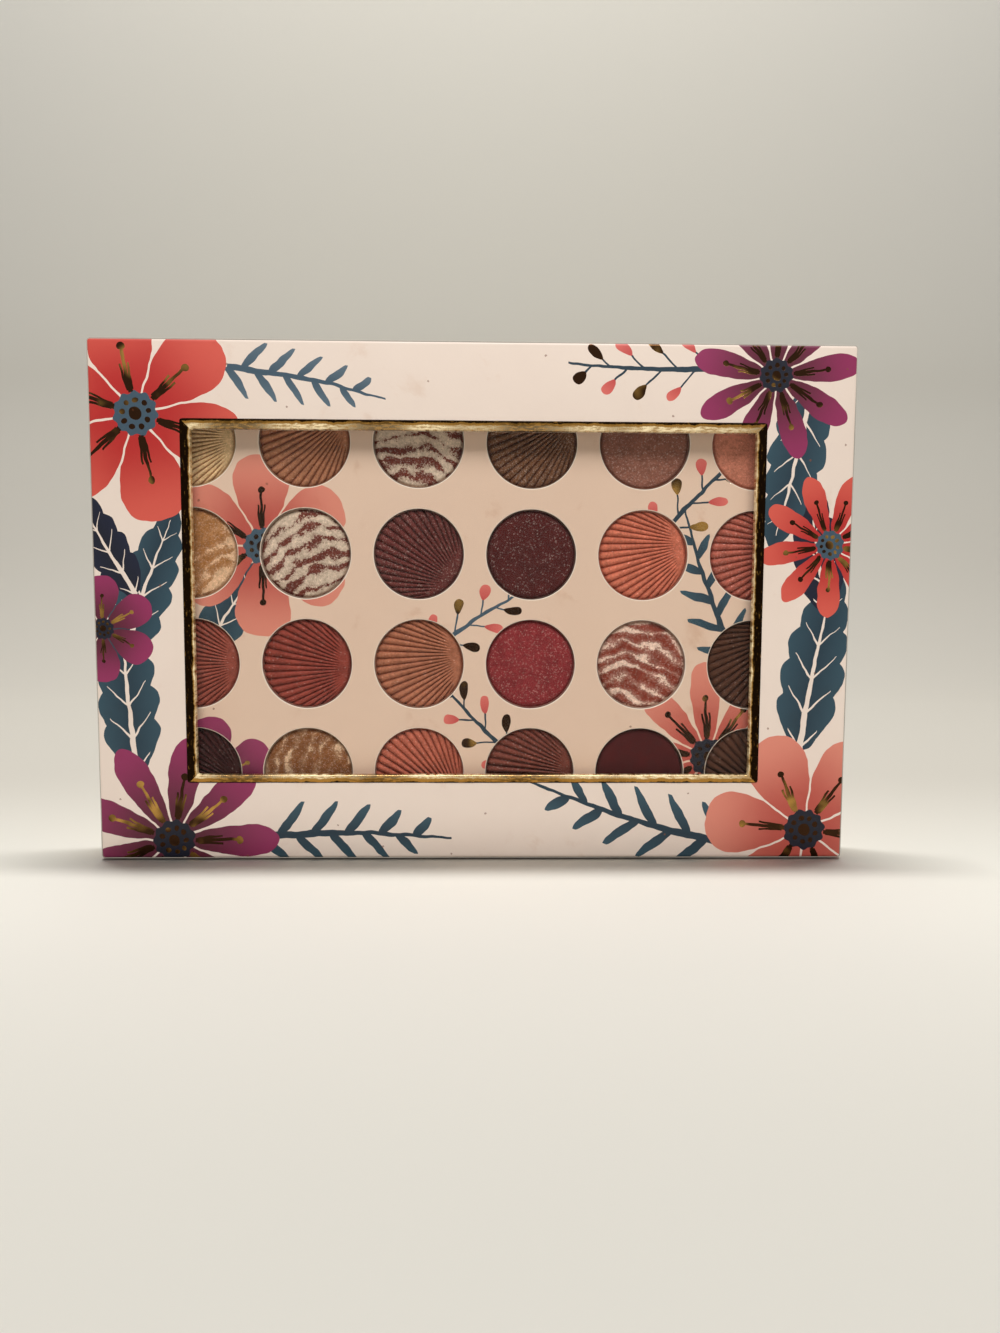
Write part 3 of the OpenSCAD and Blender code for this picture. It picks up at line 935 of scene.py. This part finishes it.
def punchCard():
    # one square with a round hole, repeated over the card and drawn out to its four edges
    low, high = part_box("pan_card")
    first, last = powderCentre(rows, 1), powderCentre(1, columns)
    pitchX, pitchZ = (last.x - first.x) / (columns - 1), (last.z - first.z) / (rows - 1)
    tile = addFacing(bpy.ops.mesh.primitive_plane_add, first, low.y, (pitchX, pitchZ), size=1)
    openForEdit(tile)
    selectAll()
    bpy.ops.mesh.delete(type="ONLY_FACE")
    selectAll()
    bpy.ops.mesh.subdivide(number_cuts=cardStyle["steps"] // 4 - 1)
    closeEdit()
    hole = addFacing(bpy.ops.mesh.primitive_circle_add, first, low.y, vertices=cardStyle["steps"],
                     radius=cardStyle["holeRadius"], fill_type="NOTHING")
    piece = joinPieces([tile, hole], "panCard")
    openForEdit(piece)
    selectAll()
    bpy.ops.mesh.bridge_edge_loops()
    closeEdit()
    for count, shift in ((columns, (pitchX, 0, 0)), (rows, (0, 0, pitchZ))):
        applyModifier(piece, "ARRAY", count=count, use_relative_offset=False,
                      use_constant_offset=True, constant_offset_displace=shift,
                      use_merge_vertices=True, merge_threshold=cardStyle["weld"])
    openForEdit(piece)
    ends = [v.co.copy() for v in bmesh.from_edit_mesh(piece.data).verts]
    for axis, goal, pickEnd in ((0, low.x, min), (0, high.x, max), (2, low.z, min),
                                (2, high.z, max)):
        border = pickEnd(e[axis] for e in ends)
        pick("EDGE", lambda e: allAt(e, axis, border))
        extrude(*(goal - border if n == axis else 0 for n in range(3)))
    selectAll()
    bpy.ops.mesh.remove_doubles(threshold=cardStyle["tidy"])
    pointOutwards()
    face = bmesh.from_edit_mesh(piece.data)
    face.faces.ensure_lookup_table()
    if face.faces[0].normal.y > 0:
        bpy.ops.mesh.flip_normals()
    closeEdit()
    applyModifier(piece, "SOLIDIFY", thickness=high.y - low.y, offset=-1)
    openForEdit(piece)
    bevelEdges(lambda e: allAt(e, 1, low.y) and e.calc_face_angle(0) > 1, cardStyle["bevel"], 3)
    closeEdit()
    smoothByAngle(piece, 12)
    piece.data.materials.append(printedCard)
    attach(piece, "base")
    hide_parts("pan_card")


punchCard()
print("stage: card punched")

shades = {   # colour, shimmer and the streaks' colour where it is marbled
    "oat": (rgb(232, 198, 150), 0.5), "toffee": (rgb(182, 124, 92), 0.1),
    "pearl": (rgb(222, 201, 180), 0.7, rgb(112, 52, 40)), "bronze": (rgb(120, 80, 54), 1.0),
    "dustyRose": (rgb(146, 94, 78), 0.6), "apricot": (rgb(214, 136, 112), 0.1),
    "caramel": (rgb(172, 117, 68), 0.8, rgb(232, 190, 152)), "mulberry": (rgb(106, 50, 46), 0.5),
    "garnet": (rgb(82, 27, 25), 0.4), "terracotta": (rgb(214, 120, 94), 0.1),
    "brick": (rgb(152, 68, 56), 0.15), "rosewood": (rgb(186, 100, 84), 0.5),
    "marsala": (rgb(160, 82, 68), 0.1), "sand": (rgb(180, 114, 86), 0.1),
    "coral": (rgb(196, 108, 86), 0.1), "raspberry": (rgb(140, 46, 50), 0.45),
    "cinnamon": (rgb(140, 60, 44), 0.6, rgb(244, 212, 194)), "espresso": (rgb(86, 52, 36), 0.1),
    "plum": (rgb(60, 14, 14), 0.2), "walnut": (rgb(138, 86, 48), 0.7, rgb(226, 190, 156)),
    "cocoa": (rgb(124, 64, 52), 0.2), "oxblood": (rgb(76, 18, 19), 0.0),
}
# each pan: shade and form; a shell turns by degrees, a marbled one has its streaks turned,
# their share of the surface, the way they thin out across, and a seed
pressed = [
    [("oat", "shell", 5), ("toffee", "shell", 32), ("pearl", "marbled", (-6, 0.36, 0.0, 3)),
     ("bronze", "shell", 32), ("dustyRose", "smooth"), ("apricot", "smooth")],
    [("caramel", "marbled", (38, 0.06, 0.055, 1)), ("pearl", "marbled", (24, 0.42, 0.012, 7)),
     ("mulberry", "shell", -35), ("garnet", "smooth"), ("terracotta", "shell", 12),
     ("rosewood", "shell", 10)],
    [("marsala", "shell", 0), ("brick", "shell", -5), ("sand", "shell", 10),
     ("raspberry", "smooth"), ("cinnamon", "marbled", (-14, 0.22, 0.0, 5)),
     ("espresso", "shell", 38)],
    [("plum", "shell", -20), ("walnut", "marbled", (80, 0.08, 0.0, 2)), ("coral", "shell", -40),
     ("cocoa", "shell", -3), ("oxblood", "smooth"), ("espresso", "shell", -45)],
]

# radius and y in mm: the underside, up the outer wall, over the rolled rim and down inside
panProfile = [(12.2, 0.2), (12.75, 0.12), (12.95, -0.12), (13.0, -0.4), (13.0, -2.2),
              (13.07, -2.42), (13.08, -2.5), (13.03, -2.58), (12.96, -2.6), (12.9, -2.57),
              (12.86, -2.48), (12.85, -2.3), (12.85, -0.1)]
panStyle = {"steps": 72, "metal": rgb(206, 176, 152), "dust": 0.6, "rim": (-2.1, -2.4)}


def panMetalMaterial():
    material, tree, shader = newMaterial("panMetal", Specular_IOR_Level=0.3)
    place = objectPlace(tree)
    brushed = addNode(tree, "Mapping", {"Vector": place, "Scale": (1, 40, 1)}).outputs[0]
    streak = noise(tree, brushed, 500.0, 3.0, 0.6)
    shade = addNode(tree, "Attribute", attribute_name="dust").outputs["Color"]
    rim = ramp(tree, split(tree, place)[1] * 1000.0, *panStyle["rim"])
    dust = rim * ramp(tree, noise(tree, place, 260.0, 5.0, 0.7), 0.3, 0.6, 0.7, 1.0)
    feed(tree, shader, Base_Color=mixColors(tree, dust, panStyle["metal"], shade),
         Metallic=dust.flipped() * 0.35,
         Roughness=ramp(tree, streak, 0.3, 0.7, 0.28, 0.44) + dust * 0.4)
    addBump(tree, shader, streak, 0.01 * mm)
    return material


def pressPans():
    metal = panMetalMaterial()
    first = powderCentre(1, 1)
    profile = [(radius * mm, depth * mm) for radius, depth in panProfile]
    model = turnProfile("panModel", first, profile, panStyle["steps"])
    smoothByAngle(model, 40)
    for row in range(1, rows + 1):
        pans = []
        for column in range(1, columns + 1):
            shift = powderCentre(row, column) - first
            pan = copyPiece(model, f"pan{row}{column}", (shift.x, 0, shift.z))
            color, _, *streak = shades[pressed[row - 1][column - 1][0]]
            color = (Vector(color) + Vector(streak[0] if streak else color)) / 2
            dust = pan.data.color_attributes.new("dust", "FLOAT_COLOR", "POINT")
            for spot in dust.data:
                spot.color = [value * panStyle["dust"] for value in color[:3]] + [1.0]
            pans.append(pan)
        piece = joinPieces(pans, f"pansRow{row}")
        piece.data.materials.append(metal)
        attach(piece, "base")
        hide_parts(f"pans_row_{row}")
    bpy.data.objects.remove(model)


pressPans()
print("stage: pans pressed")

pressStyle = {"radius": 12.82, "ground": -1.8, "bottom": -0.15, "ribs": 21, "fanPlace": 17.0,
              "ribHeight": 0.72, "ribSteps": 8, "rings": 24, "base": 0.3, "crown": 0.3,
              "smoothSteps": 96, "smoothRings": 14, "edge": (11.6, 12.8),
              # groove is painted shade in the ribs' hollows; the edge colour darkens the rim:
              # denser powder there, with painted shade where it drops off
              "groove": (0.66, 0.53, 0.48, 1), "denseEdgeAndShade": (0.58, 0.52, 0.5, 1),
              "toneLow": (0.58, 0.55, 0.52, 1), "toneHigh": (1.16, 1.16, 1.16, 1),
              "flakeSparkle": (1.0, 0.88, 0.78, 1)}


def rimFall(distance, width):
    # how far a powder's edge is rounded off, from 0 to 1 at the very rim
    return max(0.0, 1 - (pressStyle["radius"] - distance) / width) ** 2


def domeHeight(distance):
    # how far a smooth powder stands proud, in mm, at a distance from the pan's centre
    crown = pressStyle["crown"] * (1 - 0.25 * (distance / 12.7) ** 2)
    return pressStyle["base"] + crown - 0.34 * rimFall(distance, 1.6)


def shellHeight(share, fromRim, distance):
    # broad round ribs with narrow grooves, running out into a plain crescent at the hinge
    wave = (share * pressStyle["ribs"]) % 1.0
    rib = math.sin(math.pi * wave) ** 0.75
    fade = min(1.0, max(0.0, (fromRim - 2.2) / 5.0))
    fade = fade * fade * (3 - 2 * fade)
    return pressStyle["ribHeight"] * (0.7 + (rib - 0.7) * fade) - 0.3 * rimFall(distance, 0.9)


def shellPoint(across, out):
    # ribs spread from a point beyond the rim; out runs along one from the near rim to the far
    radius, far = pressStyle["radius"], pressStyle["fanPlace"]
    widest = math.asin(radius / far)
    angle = (2 * across - 1) * widest
    middle = far * math.cos(angle)
    half = math.sqrt(max(0.0, radius ** 2 - (far * math.sin(angle)) ** 2))
    reach = middle - half + 2 * half * out
    x, z = far - reach * math.cos(angle), reach * math.sin(angle)
    distance = math.hypot(x, z)
    return x, z, shellHeight(across, 2 * half * out, distance)


def smoothPoint(across, out):
    # rings round the middle
    angle, distance = across * 2 * math.pi, out * pressStyle["radius"]
    return distance * math.cos(angle), distance * math.sin(angle), domeHeight(distance)


def pressPowder(row, column, shadeName, form, detail=None):
    # a grid bent round the shell's hinge, or round the centre of a smooth one
    name = f"powder_r{row}c{column}"
    centre = powderCentre(row, column) * 1000
    if form == "shell":
        turn, place = math.radians(detail), shellPoint
        around, rings = pressStyle["ribs"] * pressStyle["ribSteps"], pressStyle["rings"]
    else:
        turn, place = 0.0, smoothPoint
        around, rings = pressStyle["smoothSteps"], pressStyle["smoothRings"]
    clearSelection()
    bpy.ops.mesh.primitive_grid_add(x_subdivisions=around, y_subdivisions=rings, size=1)
    piece = bpy.context.object
    piece.name = f"pressedPowder{row}{column}"
    for vertex in piece.data.vertices:
        x, z, height = place(vertex.co.x + 0.5, vertex.co.y + 0.5)
        x, z = (x * math.cos(turn) - z * math.sin(turn), x * math.sin(turn) + z * math.cos(turn))
        vertex.co = Vector((centre.x + x, pressStyle["ground"] - height, centre.z + z)) * mm
    openForEdit(piece)
    selectAll()
    bpy.ops.mesh.remove_doubles(threshold=0.001 * mm)
    bpy.ops.mesh.select_mode(type="EDGE")
    bpy.ops.mesh.select_all(action="DESELECT")
    bpy.ops.mesh.select_non_manifold()
    extrude(0, 0.4 * mm, 0)
    bpy.ops.transform.resize(value=(1, 0, 1),
                             center_override=(0, pressStyle["bottom"] * mm, 0))
    bpy.ops.mesh.edge_face_add()
    pointOutwards()
    closeEdit()
    smoothByAngle(piece, 75)
    piece.data.materials.append(powderMaterial(name, shades[shadeName], form, detail, centre))
    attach(piece, "base")
    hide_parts(name)


def buildPowderGrain():
    # pressed powder: grains, soft clumps and shimmer flakes
    group, given, sink = newGroup("powderGrain", {"Vector": None, "Shimmer": 0.5},
                                  ["Tone", "Height", "Flake"])
    place = given["Vector"]
    fine = noise(group, place, 1500.0, 4.0, 0.8)
    clump = noise(group, place, 330.0, 5.0, 0.6)
    cloud = noise(group, place, 85.0, 2.0)
    cells = addNode(group, "TexVoronoi", {"Vector": place, "Scale": 3600.0})
    luck, spark, _ = split(group, cells.outputs["Color"])
    feed(group, sink, Tone=fine * 0.6 + clump * 0.25 + cloud * 0.15,
         Height=fine * 0.75 + clump * 0.25,
         Flake=(luck > (given["Shimmer"] * -0.22 + 1.0)) * (spark * 0.8 + 0.2))
    return group


def buildMarbling():
    # wavy streaks of a second powder, torn where the two were stirred together
    group, given, sink = newGroup(
        "marbling", {"Vector": None, "Share": 0.3, "Lean": 0.0, "Seed": 1.0, "Period": 4.0,
                     "Bow": 0.02}, ["Vein"])
    x, _, z = split(group, given["Vector"])
    across, up = x * 1000.0, z * 1000.0
    place = combine(group, x + given["Seed"], 0.0, z + given["Seed"])
    drift = noise(group, place, 120.0, 2.0) - 0.5
    torn = noise(group, place, 720.0, 5.0, 0.9) - 0.5
    chips = noise(group, place, 1700.0, 3.0, 0.7) - 0.5
    patch = noise(group, place, 130.0, 3.0) - 0.5
    phase = (up + across * across * given["Bow"] + drift * 9.0 + torn * 2.6) / given["Period"]
    band = abs(phase % 1.0 - 0.5) * 2.0
    edge = ramp(group, (across * across + up * up).root(), 11.8, 12.8)
    width = given["Share"] + patch * 2.9 - up * given["Lean"] + edge * 0.35
    width = width - band + torn * 1.1 + chips * 1.7
    smear = ramp(group, width, -0.7, 0.1) * 0.26
    feed(group, sink, Vein=smear + ramp(group, width, 0.0, 0.1) * 0.74)
    return group


powderGrain = buildPowderGrain()
marbling = buildMarbling()


def powderMaterial(name, shade, form, detail, centre):
    material, tree, shader = newMaterial(name, Specular_IOR_Level=0.25)
    style, place = pressStyle, objectPlace(tree)
    base, shimmer, *streak = shade
    grain = useGroup(tree, powderGrain, Vector=place, Shimmer=shimmer)
    if form == "marbled":
        turn, share, lean, seed = detail
        spot = shiftedPlace(tree, place, (centre.x * mm, 0, centre.z * mm),
                            (0, math.radians(-turn), 0))
        vein = useGroup(tree, marbling, Vector=spot, Share=share, Lean=lean, Seed=seed * 0.37)
        base = mixColors(tree, vein["Vein"], base, *streak)
    tone = mixColors(tree, ramp(tree, grain["Tone"], 0.34, 0.66), style["toneLow"],
                     style["toneHigh"])
    base = mixColors(tree, 1.0, base, tone, "MULTIPLY")
    x, y, z = (value * 1000.0 for value in split(tree, place))
    if form == "shell":   # painted shade: the grooves between the ribs are painted darker
        groove = ramp(tree, y, style["ground"] - style["ribHeight"] * 0.85,
                      style["ground"] - style["ribHeight"] * 0.2)
        base = mixColors(tree, groove, base, style["groove"], "MULTIPLY")
    x, z = x - centre.x, z - centre.z
    edge = ramp(tree, (x * x + z * z).root(), *style["edge"])   # darker towards the rim: pressed harder by the wall, with painted shade where the powder drops off
    base = mixColors(tree, edge * 0.6, base, style["denseEdgeAndShade"], "MULTIPLY")
    flakeSparkle = grain["Flake"] * edge.flipped()
    # the flakes are also lightened in colour, a painted sparkle on top of their real metallic
    # shine
    base = mixColors(tree, flakeSparkle * 0.22, base, style["flakeSparkle"], "ADD")
    feed(tree, shader, Base_Color=base, Metallic=flakeSparkle * 0.5, Roughness=flakeSparkle * -0.35 + 0.86)
    addBump(tree, shader, grain["Height"], 0.05 * mm, 0.7)
    return material


for row, rowPans in enumerate(pressed, 1):
    for column, pan in enumerate(rowPans, 1):
        pressPowder(row, column, *pan)
print("stage: powders pressed")


filmStyle = {"clear": (0.985, 0.985, 0.98, 1), "veil": (0.93, 0.90, 0.87, 1), "gloss": 0.09,
             "bend": 1.2, "haze": 0.002, "smudge": 0.012, "waves": 0.5 * mm}


def clearFilmMaterial():
    material, tree, _ = newMaterial("clearFilm")
    tree.nodes.clear()
    place = objectPlace(tree)
    smudge = ramp(tree, noise(tree, place, 42.0, 6.0, 0.7, 0.6), 0.5, 0.74)
    bump = addNode(tree, "Bump", {"Height": noise(tree, place, 26.0, 2.0),
                                  "Distance": filmStyle["waves"]}).outputs[0]
    clear = addNode(tree, "BsdfTransparent", {"Color": filmStyle["clear"]})
    gloss = addNode(tree, "BsdfGlossy", {"Color": (1, 1, 1, 1), "Normal": bump,
                                         "Roughness": filmStyle["gloss"]})
    veil = addNode(tree, "BsdfDiffuse", {"Color": filmStyle["veil"]})
    fresnel = addNode(tree, "Fresnel", {"IOR": filmStyle["bend"], "Normal": bump})
    outside = Signal(tree, addNode(tree, "NewGeometry").outputs["Backfacing"]).flipped()
    mirror = Signal(tree, fresnel.outputs[0]) * outside
    haze = (smudge * filmStyle["smudge"] + filmStyle["haze"]) * outside
    pane = addNode(tree, "MixShader", {0: mirror, 1: clear.outputs[0], 2: gloss.outputs[0]})
    film = addNode(tree, "MixShader", {0: haze, 1: pane.outputs[0], 2: veil.outputs[0]})
    addNode(tree, "OutputMaterial", {"Surface": film.outputs[0]})
    return material


plainFinishes = {   # name, light and dark colour, scale of the grain, relief in mm, roughness
    "greyboard": ("greyboard", rgb(190, 184, 174), rgb(158, 150, 140), 1.4, 0.06, 0.85),
    "platform_board": ("platformBoard", rgb(226, 218, 206), rgb(206, 196, 182), 1.2, 0.05, 0.8),
    "liner_paper": ("linerPaper", rgb(238, 222, 208), rgb(224, 204, 188), 1.0, 0.02, 0.6),
    "kraft_tape": ("kraftTape", rgb(194, 156, 112), rgb(166, 128, 88), 1.3, 0.04, 0.7),
    "glue": ("glue", rgb(236, 228, 204), rgb(214, 200, 168), 2.0, 0.03, 0.3),
    "magnet": ("magnetPlate", rgb(196, 196, 200), rgb(140, 140, 146), 2.0, 0.01, 0.3, 1.0),
}


def finishNodes():
    finishes = {slot: plainMaterial(*values) for slot, values in plainFinishes.items()}
    finishes["clear_film"] = clearFilmMaterial()
    finishes["printed_wrap"] = printedSpine
    slots = {part["node"]: part["material_slot"] for part in frame["record"]["subparts"]}
    for name, node in frame["nodes"].items():
        if not node.hide_render and slots[name] in finishes:
            for place in node.material_slots:
                place.material = finishes[slots[name]]


finishNodes()
print("stage: nodes finished")
